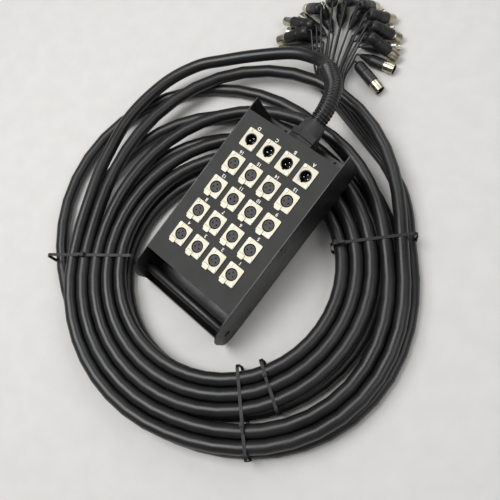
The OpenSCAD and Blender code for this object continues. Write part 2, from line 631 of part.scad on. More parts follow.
module send_pins() color(steel) for (i = sends) at_plug(i) for (a = male_angles) rotate(a)
    translate([contact_r, 0, plug_floor - 6]) cylinder(d = pin_d, h = 6 + cup_depth - 3);
module return_bodies() color(rubber_black) for (i = return_plugs) at_plug(i) plug_body(nose_d, !plug_low(i));
button_w = 5;
button_l = 9;
button_z = plug_l - barrel_l + 7;
module button_hole() translate([-nose_d / 2 - 3, -button_w / 2 - fit_gap, button_z - button_l / 2 - fit_gap])
    cube([3 + barrel_wall + button_travel + 1.2, button_w + 2 * fit_gap, button_l + 2 * fit_gap]);
module return_barrels() color(nickel) for (i = return_plugs) at_plug(i) difference() {
    plug_barrel(nose_d);
    button_hole();
}
module return_inserts() color(insert_grey) for (i = return_plugs) at_plug(i) difference() {
    translate([0, 0, boot_l + 6]) cylinder(d = nose_d - 2 * barrel_wall - 2 * slip, h = plug_l - boot_l - 7);
    button_hole();
    for (a = contact_angles) rotate(a) translate([contact_r, 0, plug_floor - 8]) cylinder(d = pin_d + 0.2, h = 40);
}
module return_contacts() color(brass) for (i = return_plugs) at_plug(i) for (a = contact_angles) rotate(a)
    translate([contact_r, 0, plug_floor - 8]) difference() {
        cylinder(d = pin_d + 0.1, h = 8 + cup_depth - 2.5);
        translate([0, 0, 8]) cylinder(d = 1.6, h = 20);
    }
module release(k) color(steel) at_plug(return_plugs[k - 1])
    translate([-nose_d / 2 - 0.7, -button_w / 2, button_z - button_l / 2]) cube([2.1, button_w, button_l]);

// Ties
function low_out_r(a) = let(o = (wrap(a - turn_a - 180) + 180) / 360) [o, lower_r(a, o), lower_r(a, o + 4), lower_r(a, o + 2)];
function up_out_r(a) = let(o = loops_up - (wrap(a - start_a - 180) + 180) / 360) [o, upper_r(a, o), upper_r(a, o - 4)];
module strap(a, r_in, r_out, top, head_r) translate([coil_c.x, coil_c.y, 0]) rotate(a) {
    lo = r_in - cable_d / 2 - tie_slack;
    hi = r_out + cable_d / 2 + tie_slack;
    translate([0, tie_w / 2, 0]) rotate([90, 0, 0]) linear_extrude(tie_w) difference() {
        round_box(lo - tie_t, 0, hi + tie_t, top + tie_t, tie_round + tie_t);
        round_box(lo, tie_t, hi, top, tie_round);
    }
    translate([head_r - head_l / 2, -head_w / 2, top + tie_t]) cube([head_l, head_w, head_h]);
    translate([head_r + head_l / 2, -tie_w / 2 + 0.4, top + tie_t + 1]) cube([9, tie_w - 0.8, tie_t]);
}
module round_box(x0, y0, x1, y1, r) {
    translate([x0 + r, y0]) square([x1 - x0 - 2 * r, y1 - y0]);
    translate([x0, y0 + r]) square([x1 - x0, y1 - y0 - 2 * r]);
    for (x = [x0 + r, x1 - r]) for (y = [y0 + r, y1 - r]) translate([x, y]) circle(r = r);
}
strap_top = up_z + cable_d / 2 + 0.4;
module tie(a, head_r) color(rubber_black)
    strap(a, inner_r(a), max(low_out_r(a)[2], up_out_r(a)[1]), strap_top, head_r);
module tie_left() tie(tie_left_a, 245);
module tie_right() tie(tie_right_a, 168);
module tie_bottom() tie(tie_bottom_a, 250);
module tie_inner() color(rubber_black)
    strap(tie_inner_a, inner_r(tie_inner_a), low_out_r(tie_inner_a)[3] + 1.5 - tie_slack, strap_top, 190);

chassis();
lid_panel();
carry_bar();
side_screws();
panel_screws();
female_flanges();
female_inserts();
female_contacts();
latch_springs();
male_flanges();
male_cups();
male_pins();
latch(1);  // latch_01
latch(2);  // latch_02
latch(3);  // latch_03
latch(4);  // latch_04
latch(5);  // latch_05
latch(6);  // latch_06
latch(7);  // latch_07
latch(8);  // latch_08
latch(9);  // latch_09
latch(10);  // latch_10
latch(11);  // latch_11
latch(12);  // latch_12
latch(13);  // latch_13
latch(14);  // latch_14
latch(15);  // latch_15
latch(16);  // latch_16
gland_body();
gland_locknut();
gland_dome_nut();
gland_seal();
ribbed_hose();
lead_cable();
coil();
end_cable();
breakout_boot();
inner_wires();
send_tails();
return_tails();
send_bodies();
send_barrels();
send_inserts();
send_pins();
return_bodies();
return_barrels();
return_inserts();
return_contacts();
release(1);  // release_1
release(2);  // release_2
release(3);  // release_3
release(4);  // release_4
tie_left();
tie_right();
tie_bottom();
tie_inner();
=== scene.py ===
import bpy, bmesh, math
from mathutils import Matrix, Vector


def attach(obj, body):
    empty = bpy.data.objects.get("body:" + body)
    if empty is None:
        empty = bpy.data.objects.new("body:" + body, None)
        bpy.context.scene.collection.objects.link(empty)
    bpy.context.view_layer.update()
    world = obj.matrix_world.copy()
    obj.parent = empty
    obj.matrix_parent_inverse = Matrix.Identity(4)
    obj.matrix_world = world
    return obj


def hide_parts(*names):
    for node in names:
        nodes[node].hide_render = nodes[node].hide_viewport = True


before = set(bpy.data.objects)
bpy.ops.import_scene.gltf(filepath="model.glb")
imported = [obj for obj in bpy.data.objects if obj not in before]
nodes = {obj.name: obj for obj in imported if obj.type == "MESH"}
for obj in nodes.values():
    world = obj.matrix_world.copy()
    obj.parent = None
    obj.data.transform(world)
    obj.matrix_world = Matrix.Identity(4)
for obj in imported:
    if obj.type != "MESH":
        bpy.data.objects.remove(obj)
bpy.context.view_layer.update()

# Steel box
# A base with a rolled near edge and two cheeks, and an inner cover that carries
# the sockets. Both are folded from 1.6 mm sheet and painted satin black; the
# cover is given a lighter grey than the base, cheeks and bar, a painted sheen
# for the overhead light on the same paint. A round bar between the cheeks is
# the handle, and six screws hold the cover.

BOX_H, NEAR_TIP, FAR_Y = 75, -187.5, 125
LIP_R, TILT, ORIGIN_Y = 18, math.radians(11), -145.4863
MM = 0.001
DUST, GRAIN_DEPTH = (0.34, 0.32, 0.3), 0.0003
# Painted shade in the sockets' bores: full below this height over the panel's top, fading out over the
# next, in millimetres
SHADE_FROM, SHADE_OVER = 0.3, 0.2
WELD, FLAT_A, EDGE_A = 2e-6, math.radians(1), math.radians(38)

# From the box's own millimetres to the shared frame in metres: it leans on its rolled edge
BOX = (Matrix.Scale(MM, 4) @ Matrix.Translation((0, ORIGIN_Y, LIP_R))
       @ Matrix.Rotation(TILT, 4, 'X') @ Matrix.Translation((0, -NEAR_TIP - LIP_R, -LIP_R)))
PANEL_UP = Vector((0, -math.sin(TILT), math.cos(TILT)))


def finish(name, dark, light, rough, metal=0.0, drift=30.0, grain=0.1, grain_size=900.0,
           uneven=0.08, dust=0.0, worn=None, worn_width=0.0006, painted_shade=None):
    """Surface whose colour and gloss drift between two values, with grain, dust and worn edges.

    What lies below the panel's top, such as the sockets' bore walls, takes a dark colour as painted
    shade, where one is given.
    """
    m = bpy.data.materials.new(name)
    m.use_nodes = True
    new, link = m.node_tree.nodes.new, m.node_tree.links.new
    shader = m.node_tree.nodes["Principled BSDF"]
    shader.inputs["Metallic"].default_value = metal
    place = new("ShaderNodeTexCoord")

    def noise(scale, detail):
        n = new("ShaderNodeTexNoise")
        n.inputs["Scale"].default_value = scale
        n.inputs["Detail"].default_value = detail
        link(place.outputs["Object"], n.inputs["Vector"])
        return n.outputs["Fac"]

    def spread(value, low, high, out_low, out_high):
        n = new("ShaderNodeMapRange")
        ends = ("From Min", "From Max", "To Min", "To Max")
        for key, v in zip(ends, (low, high, out_low, out_high)):
            n.inputs[key].default_value = v
        link(value, n.inputs["Value"])
        return n.outputs["Result"]

    def mixed(factor, a, b):
        n = new("ShaderNodeMix")
        n.data_type = 'RGBA'
        link(factor, n.inputs["Factor"])
        for socket, c in (("A", a), ("B", b)):
            if isinstance(c, tuple):
                n.inputs[socket].default_value = (*c, 1)
            else:
                link(c, n.inputs[socket])
        return n.outputs["Result"]

    def times(a, b):
        n = new("ShaderNodeMath")
        n.operation = 'MULTIPLY'
        link(a, n.inputs[0])
        link(b, n.inputs[1])
        return n.outputs["Value"]

    cloud = noise(drift, 6)
    colour = mixed(spread(cloud, 0.35, 0.65, 0, 1), dark, light)
    if dust:
        specks = spread(noise(1100, 9), 0.6, 0.72, 0, dust)
        patches = spread(noise(9, 3), 0.4, 0.7, 0.2, 1)
        colour = mixed(times(specks, patches), colour, DUST)
    if worn:
        edge = new("ShaderNodeBevel")
        edge.inputs["Radius"].default_value = worn_width
        flat = new("ShaderNodeNewGeometry")
        dot = new("ShaderNodeVectorMath")
        dot.operation = 'DOT_PRODUCT'
        link(edge.outputs["Normal"], dot.inputs[0])
        link(flat.outputs["Normal"], dot.inputs[1])
        on_edge = spread(dot.outputs["Value"], 0.995, 0.93, 0, 1)
        rubbed = times(on_edge, spread(noise(120, 5), 0.35, 0.6, 0.1, 0.8))
        colour = mixed(rubbed, colour, worn)
    # Painted shade: below the panel's top the colour turns to the dark colour given, for the shade down
    # in the sockets' bores
    if painted_shade:
        height = new("ShaderNodeVectorMath")
        height.operation = 'DOT_PRODUCT'
        link(place.outputs["Object"], height.inputs[0])
        height.inputs[1].default_value = PANEL_UP
        level = (BOX @ Vector((0, 0, BOX_H + SHADE_FROM))).dot(PANEL_UP)
        out_of_shade = spread(height.outputs["Value"], level, level + SHADE_OVER * MM, 0, 1)
        colour = mixed(out_of_shade, painted_shade, colour)
    link(colour, shader.inputs["Base Color"])
    gloss = spread(cloud, 0.3, 0.7, max(0.04, rough - uneven), min(1, rough + uneven))
    link(gloss, shader.inputs["Roughness"])
    bump = new("ShaderNodeBump")
    bump.inputs["Strength"].default_value = grain
    bump.inputs["Distance"].default_value = GRAIN_DEPTH
    link(noise(grain_size, 3), bump.inputs["Height"])
    link(bump.outputs["Normal"], shader.inputs["Normal"])
    return m


def coat(material, names, edge=0.0, segments=2):
    """Gives CAD nodes a finish, and rounds their sharp edges by a radius in millimetres."""
    for name in names:
        o = nodes[name]
        for slot in o.material_slots:
            slot.material = material
        if not o.material_slots:
            o.data.materials.append(material)
        if edge:
            weld = o.modifiers.new("weld", 'WELD')
            weld.merge_threshold = WELD
            flat = o.modifiers.new("flat", 'DECIMATE')
            flat.decimate_type = 'DISSOLVE'
            flat.angle_limit = FLAT_A
            bevel = o.modifiers.new("edge", 'BEVEL')
            bevel.width, bevel.segments = edge * MM, segments
            bevel.limit_method, bevel.angle_limit = 'ANGLE', EDGE_A
            bevel.harden_normals = True


cheek_paint = finish("cheek_paint", (0.008, 0.008, 0.0085), (0.012, 0.012, 0.0125), 0.4,
                     grain=0.35, grain_size=1500, dust=0.12, worn=(0.05, 0.05, 0.05))
# Painted sheen: the cover's paint is the cheeks' satin black made lighter grey, standing in for the
# overhead light on it
panel_paint = finish("panel_paint", (0.024, 0.0237, 0.023), (0.031, 0.0305, 0.0295), 0.72,
                     grain=0.4, grain_size=1500, dust=0.14, worn=(0.09, 0.09, 0.088))
coat(cheek_paint, ["chassis", "carry_bar"], edge=0.5)
coat(panel_paint, ["lid_panel"], edge=0.5)
coat(cheek_paint, ["side_screws"])

# Sockets
# Twenty nickel-plated socket plates, each held by two screws. Sixteen are female,
# with a grey insert, gold contacts and a sprung push tab; four are male, with a
# black cup and three silver pins.

# The nickel darkens below the panel's top: painted shade for the sockets' bores
nickel = finish("nickel_plate", (0.485, 0.452, 0.348), (0.57, 0.535, 0.42), 0.42, metal=0.2,
                grain=0.15, drift=60, worn=(0.42, 0.39, 0.3), worn_width=0.0004,
                painted_shade=(0.012, 0.012, 0.013))
tab_nickel = finish("tab_nickel", (0.4, 0.372, 0.283), (0.51, 0.475, 0.375), 0.36, metal=0.25,
                    grain=0.1, drift=90, worn=(0.32, 0.29, 0.22), worn_width=0.0005)
screw_nickel = finish("screw_nickel", (0.26, 0.24, 0.19), (0.4, 0.38, 0.31), 0.36, metal=1.0)
insert_grey = finish("insert_grey", (0.042, 0.042, 0.046), (0.058, 0.058, 0.063), 0.66, grain=0.3)
cup_black = finish("cup_black", (0.008, 0.008, 0.008), (0.012, 0.012, 0.012), 0.25, grain=0.05)
silver = finish("silver_pin", (0.78, 0.78, 0.77), (0.88, 0.88, 0.86), 0.18, metal=1.0, grain=0.05)
gold = finish("gold_contact", (0.16, 0.11, 0.045), (0.26, 0.19, 0.09), 0.4, metal=1.0)
coat(nickel, ["female_flanges", "male_flanges"], edge=0.3)
coat(tab_nickel, ["latch_%02d" % n for n in range(1, 17)], edge=0.35)
coat(insert_grey, ["female_inserts"], edge=0.25)
coat(cup_black, ["male_cups"], edge=0.2)
coat(silver, ["male_pins"], edge=0.3)
coat(gold, ["female_contacts", "latch_springs"])
coat(screw_nickel, ["panel_screws"], edge=0.15)

# Panel numbers
# Plain letters and numbers, printed beyond each socket in white: A to D for the
# males, and 1 to 16 for the females from the near right. They read upside down
# from the carry bar, as on the real box.

ROWS, COLS, ROW_PITCH, COL_PITCH = 5, 4, 44, 35
TEXT_H, TEXT_OFF = 7.4, 20.2
PRINT_T, PRINT_BOLD, PRINT_LIFT = 0.03, 0.16, 0.04
print_white = finish("print_white", (0.78, 0.77, 0.72), (0.88, 0.87, 0.82), 0.6, drift=400)
upside_down = Matrix.Rotation(TILT, 4, 'X') @ Matrix.Rotation(math.pi, 4, 'Z')
for i in range(COLS):
    for j in range(ROWS):
        word = str((ROWS - 1 - j) * COLS + COLS - i) if j else "DCBA"[i]
        text = bpy.data.curves.new("label_" + word, 'FONT')
        text.body, text.size = word, TEXT_H * MM
        text.extrude, text.offset = PRINT_T * MM, PRINT_BOLD * MM
        text.align_x = text.align_y = 'CENTER'
        o = bpy.data.objects.new("label_" + word, text)
        bpy.context.collection.objects.link(o)
        bpy.context.view_layer.update()
        flat_text = o.evaluated_get(bpy.context.evaluated_depsgraph_get())
        printed = bpy.data.meshes.new_from_object(flat_text)
        x = (i - (COLS - 1) / 2) * COL_PITCH
        y = ((ROWS - 1) / 2 - j) * ROW_PITCH + TEXT_OFF
        spot = BOX @ Vector((x, y, BOX_H + PRINT_LIFT))
        printed.transform(Matrix.Translation(spot) @ upside_down)
        bpy.data.objects.remove(o)
        printed.materials.clear()
        printed.materials.append(print_white)
        o = bpy.data.objects.new("label_" + word, printed)
        bpy.context.collection.objects.link(o)
        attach(o, "box")

# Cable gland
# A moulded nylon gland in the far wall: a threaded body, a locknut inside, a
# rubber seal, and a domed nut that grips the end of the ribbed hose.

gland_nylon = finish("gland_nylon", (0.02, 0.02, 0.021), (0.032, 0.032, 0.033), 0.45,
                     grain=0.3, dust=0.15, worn=(0.06, 0.06, 0.06))
seal_rubber = finish("seal_rubber", (0.01, 0.01, 0.01), (0.015, 0.015, 0.015), 0.7)
coat(gland_nylon, ["gland_body", "gland_dome_nut", "gland_locknut"], edge=0.8, segments=3)
coat(seal_rubber, ["gland_seal", "inner_wires"])

# Multicore
# One 21 mm rubber-jacketed multicore, about 15 m long. It leaves the gland inside
# the ribbed hose, crosses the top of the coil as a lead, winds inwards through the
# upper layer of loops, drops under the box and winds out through the lower layer.

CABLE, LOOP_GAP, LAYER_GAP, COIL_LIFT = 21, 0.6, 0.8, 1.3
HOLE_R, HOLE_DR, HOLE_A = 170, 8, -35
UPPER_SWING, UPPER_MID, UPPER_HALF = 179, 124, 90
LOWER_SWING, LOWER_MID, LOWER_HALF = 140, 160, 95
SIDE_BULGE, BULGE_MID, BULGE_HALF = 18, -12, 60
BULGE_FROM, BULGE_OVER = 2.7, 0.6
COIL_MID, FULL_LOOPS, START_A, TURN_A, END_A = (10, -55), 4, 210, 90, 40
UP = FULL_LOOPS + (TURN_A + 360 - START_A) / 360
LOW = FULL_LOOPS + (END_A + 360 - TURN_A) / 360
LOOP_PITCH, LOW_Z, LAYER = CABLE + LOOP_GAP, COIL_LIFT + CABLE / 2, CABLE + LAYER_GAP
UP_Z = LOW_Z + LAYER
RINGS = 48


def cosd(a):
    return math.cos(math.radians(a))


def sind(a):
    return math.sin(math.radians(a))


def wrap(a):
    return (a + 180) % 360 - 180


def swing(a, mid, half):
    """One at an angle, falling smoothly to nothing at a half width on either side."""
    d = wrap(a - mid)
    return (1 + math.cos(math.pi * d / half)) / 2 if abs(d) < half else 0


def ease(x):
    """Smooth step from nothing to one."""
    x = min(1, max(0, x))
    return x * x * (3 - 2 * x)


def inner_r(a):
    return HOLE_R + HOLE_DR * cosd(a - HOLE_A)


def plain_r(a, out):
    """Radius of the loop that lies out loops from the coil's hole, with the bulge at one side."""
    bulge = SIDE_BULGE * ease((out - BULGE_FROM) / BULGE_OVER) * swing(a, BULGE_MID, BULGE_HALF)
    return inner_r(a) + LOOP_PITCH * out + bulge


def upper_r(a, out):
    return plain_r(a, out) + UPPER_SWING * (out / UP) ** 3 * swing(a, UPPER_MID, UPPER_HALF)


def lower_r(a, out):
    return plain_r(a, out) + LOWER_SWING * (out / LOW) ** 2 * swing(a, LOWER_MID, LOWER_HALF)


def coil_pt(k):
    """Cable's middle after k loops, counted from the upper layer's outer end."""
    a = START_A + 360 * k
    r = upper_r(a, UP - k) if k < UP else lower_r(a, k - UP)
    z = UP_Z - LAYER * ease(2 * (k - UP) + 0.5)
    return Vector((COIL_MID[0] + r * cosd(a), COIL_MID[1] + r * sind(a), z))


def curve_through(p, steps, first, last):
    """Smooth points through p, with a tangent given at each end."""
    p = [Vector(q) for q in p]
    q = [p[1] - 2 * Vector(first)] + p + [p[-2] + 2 * Vector(last)]
    out = []
    for i in range(len(p) - 1):
        a, b, c, d = q[i:i + 4]
        for s in range(steps + (i == len(p) - 2)):
            t = s / steps
            out.append(0.5 * (2 * b + (c - a) * t + (2 * a - 5 * b + 4 * c - d) * t * t
                              + (3 * b - a - 3 * c + d) * t ** 3))
    return out


def length(p):
    return sum((b - a).length for a, b in zip(p, p[1:]))


def box_pt(x, y, z):
    return BOX @ Vector((x, y, z)) / MM


HOSE, GLAND_H, GLAND_L, RIB = 28.5, 38, 30, 5.2
HOSE_Y, HOSE_RUN = FAR_Y + GLAND_L, 5.5 * RIB
box_way = box_pt(0, 1, 0) - box_pt(0, 0, 0)
hose_a, hose_b = box_pt(0, HOSE_Y, GLAND_H), box_pt(0, HOSE_Y + HOSE_RUN, GLAND_H)
hose_way = [(-5, 223, 108), (-17, 246, 106), (-35, 264, 99), (-54, 279, 88)]
hose_out = Vector((-16, 11, -11))
lead_way = [(-72, 290, 78), (-98, 294, 69), (-140, 286, 61), (-195, 250, 55), (-243, 216, 46),
            (-283, 182, 39), (-311, 122, 36), (-317, 35, 35), (-294, -52, 34), (-271, -104, 34)]
coil_steps = round((UP + LOW) * RINGS)
loops = [coil_pt((UP + LOW) * i / coil_steps) for i in range(coil_steps + 1)]
coil_in = loops[0] - CABLE * (coil_pt(0.01) - coil_pt(0)).normalized()
coil_out = loops[-1] + CABLE * (coil_pt(UP + LOW) - coil_pt(UP + LOW - 0.01)).normalized()
hose_line = [hose_a + box_way * HOSE_RUN * i / 12 for i in range(12)]
hose_line += curve_through([hose_b] + hose_way, 14, box_way * 13, hose_out)
lead_ends = (hose_out, (loops[0] - coil_in) * 0.5)
lead_line = curve_through([hose_way[-1]] + lead_way + [coil_in], 8, *lead_ends)
BREAK, BREAK_WAY = Vector((128, 214, LOW_Z)), Vector((-80, 42, 0)).normalized()
end_way = [coil_out, (180, 174, LOW_Z), (150, 201, LOW_Z), BREAK]
end_line = curve_through(end_way, 6, (coil_out - loops[-1]) * 0.5, BREAK_WAY * 8)
cable_line = hose_line[:-1] + lead_line + loops + end_line


def cord(name, line, width, material, sides):
    """Round cord on one open spline along points in millimetres."""
    c = bpy.data.curves.new(name, 'CURVE')
    c.dimensions = '3D'
    c.bevel_depth, c.bevel_resolution = width / 2 * MM, sides
    c.use_fill_caps = True
    c.twist_mode = 'MINIMUM'
    s = c.splines.new('POLY')
    s.points.add(len(line) - 1)
    for q, p in zip(s.points, line):
        q.co = (*(Vector(p) * MM), 1)
    s.use_smooth = True
    c.materials.append(material)
    o = bpy.data.objects.new(name, c)
    bpy.context.collection.objects.link(o)
    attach(o, "box")
    return o


jacket = finish("cable_jacket", (0.007, 0.0072, 0.0073), (0.013, 0.0132, 0.0134), 0.36, drift=14,
                grain=0.22, grain_size=420, uneven=0.07, dust=0.14)
multicore = cord("multicore", cable_line, CABLE, jacket, sides=6)
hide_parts("lead_cable", "coil", "end_cable")

# Ribbed hose
# A glossy corrugated hose that guards the first bend of the multicore. It is
# moulded straight, with 25 ribs of 5.2 mm, and bent over the coil's edge.

hose_plastic = finish("hose_plastic", (0.009, 0.009, 0.01), (0.014, 0.014, 0.015), 0.26, dust=0.08)


def spun(profile, steps=32, closed=False):
    """Turned shape about Z from (radius, height) points in millimetres."""
    bm = bmesh.new()
    ring = [bm.verts.new((r, 0, h)) for r, h in profile]
    line = [bm.edges.new(pair) for pair in zip(ring, ring[1:])]
    if closed:
        line.append(bm.edges.new((ring[-1], ring[0])))
    bmesh.ops.spin(bm, geom=ring + line, cent=(0, 0, 0), axis=(0, 0, 1), dvec=(0, 0, 0),
                   angle=math.tau, steps=steps, use_merge=True)
    bmesh.ops.remove_doubles(bm, verts=bm.verts, dist=1e-4)
    return bm


def made(bm, name, material, crease=35):
    """Turns a bmesh in millimetres into a piece that rides on the box, crisp past the crease angle."""
    bmesh.ops.scale(bm, vec=(MM, MM, MM), verts=bm.verts)
    bmesh.ops.recalc_face_normals(bm, faces=bm.faces)
    for f in bm.faces:
        f.smooth = True
    for e in bm.edges:
        e.smooth = len(e.link_faces) == 2 and e.calc_face_angle() < math.radians(crease)
    mesh = bpy.data.meshes.new(name)
    bm.to_mesh(mesh)
    bm.free()
    mesh.materials.append(material)
    o = bpy.data.objects.new(name, mesh)
    bpy.context.collection.objects.link(o)
    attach(o, "box")
    return o


def bent(bm, line):
    """Bends a straight tube about Z along points, each ring square to the line."""
    at, side = [0], None
    for a, b in zip(line, line[1:]):
        at.append(at[-1] + (b - a).length)
    frames = []
    for i, p in enumerate(line):
        t = (line[min(i + 1, len(line) - 1)] - line[max(i - 1, 0)]).normalized()
        side = t.cross(Vector((0, 0, 1))) if side is None else side - t * side.dot(t)
        side.normalize()
        frames.append((p, t, side.copy()))
    for v in bm.verts:
        h = min(max(v.co.z, 0), at[-1] - 1e-6)
        i = next(k for k in range(len(at) - 1) if at[k + 1] > h)
        f = (h - at[i]) / (at[i + 1] - at[i])
        p, t, s = (frames[i][q].lerp(frames[i + 1][q], f) for q in range(3))
        v.co = p + s.normalized() * v.co.x + t.cross(s).normalized() * v.co.y
    return bm


HOSE_BORE, RIB_DEPTH = 23.4, 1.5
RIB_SHAPE = ((0, 1), (0.2, 0.9), (0.3, 0.25), (0.42, 0), (0.68, 0), (0.8, 0.25), (0.9, 0.9))
ribs = []
hose_len = length(hose_line)
for n in range(int(hose_len / RIB)):
    for f, d in RIB_SHAPE:
        ribs.append((HOSE / 2 - RIB_DEPTH * d, (n + f) * RIB))
ribs.append((HOSE / 2 - RIB_DEPTH, ribs[-1][1] + 0.1 * RIB))
bore = [(HOSE_BORE / 2, ribs[-1][1] * (1 - k / 40)) for k in range(41)]
hose = bent(spun(ribs + bore, 36, closed=True), hose_line)
hose = made(hose, "ribbed_hose_skin", hose_plastic, crease=60)
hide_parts("ribbed_hose")

# Breakout boot
# Thick heat-shrink over the place where the multicore splits into its tails,
# shrunk tighter between the ends and rounded at its mouth.

BOOT_MOUTH = 34
boot_rubber = finish("boot_rubber", (0.011, 0.011, 0.011), (0.018, 0.018, 0.018), 0.5,
                     drift=60, grain=0.3, dust=0.12)


def aimed(bm, at, way):
    """Moves a turned shape so that its Z points along way and its foot is at the point."""
    z = way.normalized()
    x = z.cross(Vector((0, 0, 1))).normalized()
    m = Matrix((x, z.cross(x), z)).transposed().to_4x4()
    m.translation = at
    bmesh.ops.transform(bm, matrix=m, verts=bm.verts)
    return bm


shrink = [(0, 0), (10.7, 0), (11.1, 0.4), (11.2, 1.4), (11.2, 7), (10.95, 10), (10.8, 16), (10.9, 22),
          (11.15, 28), (11.2, 32.6), (10.9, 33.6), (10, BOOT_MOUTH), (0, BOOT_MOUTH)]
breakout = aimed(spun(shrink, 40), BREAK, BREAK_WAY)
breakout = made(breakout, "breakout_skin", boot_rubber, crease=50)
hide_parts("breakout_boot")

# Cable ties
# Four black nylon ties round the bundle. Each is a flat strap with a boxy ratchet
# head, and its cut end stands out past the head.

TIE_W, TIE_T, TIE_SLACK, TIE_OVER = 4.8, 1.2, 2, 0.4
TIE_R, ARC_STEPS = 9, 8
HEAD_SIZE, HEAD_RIM, HEAD_DEEP, HEAD_EDGE = (6.6, 7.6, 4.8), 1.1, 1.2, 0.5
END_L, END_T, END_RISE, END_STEPS, END_NARROW = 9, 1.0, 0.3, 8, 0.55
END_FROM, END_UP = 3, 1.9
tie_nylon = finish("tie_nylon", (0.004, 0.004, 0.0042), (0.007, 0.007, 0.0074), 0.55, drift=80)


def outside(a):
    """Outermost loop centre of either layer at an angle."""
    low = (wrap(a - TURN_A - 180) + 180) / 360
    up = UP - (wrap(a - START_A - 180) + 180) / 360
    return max(lower_r(a, low + 4), upper_r(a, up))


def verts_in(geom):
    return [v for v in geom if isinstance(v, bmesh.types.BMVert)]


def tie(name, a, far, head_r):
    """Strap round the loops from the hole's edge to a radius, in the upright plane at an angle."""
    lo, hi = inner_r(a) - CABLE / 2 - TIE_SLACK, far + CABLE / 2 + TIE_SLACK
    top = UP_Z + CABLE / 2 + TIE_OVER
    to_coil = Matrix.Translation((*COIL_MID, 0)) @ Matrix.Rotation(math.radians(a), 4, 'Z')
    bm = bmesh.new()
    corners = ((hi - TIE_R, top - TIE_R, 90), (hi - TIE_R, TIE_T + TIE_R, 0),
               (lo + TIE_R, TIE_T + TIE_R, -90), (lo + TIE_R, top - TIE_R, -180))
    ring = []
    for x, z, from_a in corners:
        for k in range(ARC_STEPS + 1):
            b = from_a - 90 / ARC_STEPS * k
            ring.append(bm.verts.new((x + TIE_R * cosd(b), -TIE_W / 2, z + TIE_R * sind(b))))
    band = [bm.edges.new(pair) for pair in zip(ring, ring[1:] + ring[:1])]
    wide = bmesh.ops.extrude_edge_only(bm, edges=band)["geom"]
    bmesh.ops.translate(bm, vec=(0, TIE_W, 0), verts=verts_in(wide))
    bmesh.ops.recalc_face_normals(bm, faces=bm.faces)
    bmesh.ops.solidify(bm, geom=bm.faces, thickness=TIE_T)
    bmesh.ops.transform(bm, matrix=to_coil, verts=bm.verts)
    strap = made(bm, name + "_strap", tie_nylon, crease=40)
    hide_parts(name)

    bm = bmesh.new()
    bmesh.ops.create_cube(bm, size=1)
    bmesh.ops.scale(bm, vec=HEAD_SIZE, verts=bm.verts)
    mouths = [f for f in bm.faces if abs(f.normal.x) > 0.9]
    bmesh.ops.inset_individual(bm, faces=mouths, thickness=HEAD_RIM, depth=0)
    for f in mouths:
        bmesh.ops.translate(bm, vec=-f.normal * HEAD_DEEP, verts=f.verts)
    sharp = [e for e in bm.edges if e.calc_face_angle() > 1.2]
    bmesh.ops.bevel(bm, geom=sharp, offset=HEAD_EDGE, segments=3,
                    affect='EDGES', profile=0.5, material=-1)
    on_top = Matrix.Translation((head_r, 0, top + TIE_T + HEAD_SIZE[2] / 2))
    bmesh.ops.transform(bm, matrix=to_coil @ on_top, verts=bm.verts)
    head = made(bm, name + "_head", tie_nylon, crease=40)

    bm = bmesh.new()
    w = TIE_W / 2 - 0.4
    row = [bm.verts.new((0, s * w, 0)) for s in (-1, 1)]
    edge = [bm.edges.new(row)]
    for k in range(END_STEPS):
        step = bmesh.ops.extrude_edge_only(bm, edges=edge)["geom"]
        tips = verts_in(step)
        edge = [e for e in step if isinstance(e, bmesh.types.BMEdge) and all(v in tips for v in e.verts)]
        rise = END_RISE * (k + 1) / END_STEPS
        bmesh.ops.translate(bm, vec=(END_L / END_STEPS, 0, rise), verts=tips)
    for v in tips:
        v.co.y *= END_NARROW
    bmesh.ops.recalc_face_normals(bm, faces=bm.faces)
    bmesh.ops.solidify(bm, geom=bm.faces, thickness=END_T)
    past_head = Matrix.Translation((head_r + END_FROM, 0, top + TIE_T + END_UP))
    bmesh.ops.transform(bm, matrix=to_coil @ past_head, verts=bm.verts)
    return [strap, head, made(bm, name + "_tail", tie_nylon, crease=40)]


ties = []
for name, a, head_r in (("tie_left", 217, 245), ("tie_right", 45, 168), ("tie_bottom", -43, 250)):
    ties += tie(name, a, outside(a), head_r)

# The short tie reaches out to the third loop of the lower layer
INNER_A, INNER_HEAD_R, INNER_ROOM = -31, 190, 1.5
third = (wrap(INNER_A - TURN_A - 180) + 180) / 360 + 2
ties += tie("tie_inner", INNER_A, lower_r(INNER_A, third) + INNER_ROOM - TIE_SLACK, INNER_HEAD_R)

# Tails and plugs
# Twenty thin tails run from the boot under the coil's outer loop and fan out to
# their plugs. Ten plugs lie flat and ten lean nose down between them. Sixteen are
# male, with a nickel barrel; four are female, with a release button.

TAIL, PLUG_D, BARREL_D, NOSE_D, TIP_GAP = 3.6, 20, 18.4, 15.8, 0.2
BOOT_L, BODY_L, BARREL_L = 22, 26, 19
PLUG_L = BOOT_L + BODY_L + BARREL_L
FAN_MID, FAN_FROM, FAN_STEP, FAN_R, UP_SHIFT = (-110, 372), 218, 212 / 9, 32, 1
PUSH_LOW = [9, 4, 3, 3, 10, 9, 6, 1, 9, 13]
PUSH_UP = [22, 20, 28, 29, 29, 28, 27, 24, 22, 24]
TURN_UP = [-2, 2, 0, 0, 0, 0, 0, 0, 0, -12]
DIP_UP = [30, 18, 40, 44, 44, 46, 42, 42, 40, 6]
LIFT_UP = [0, 8, 0, 0, 0, 0, 0, 0, 2, 0]
RETURNS = [3, 9, 12, 16]
BUNDLE, LANE_GAP, TAIL_LIFT, STRAIGHT_IN, CORNER = TAIL + 0.15, 4.6, 0.4, 7, 0.42
LANE_MID, LANE_WAY = Vector((-76, 297, 0)), Vector((-34, 75, 0)).normalized()

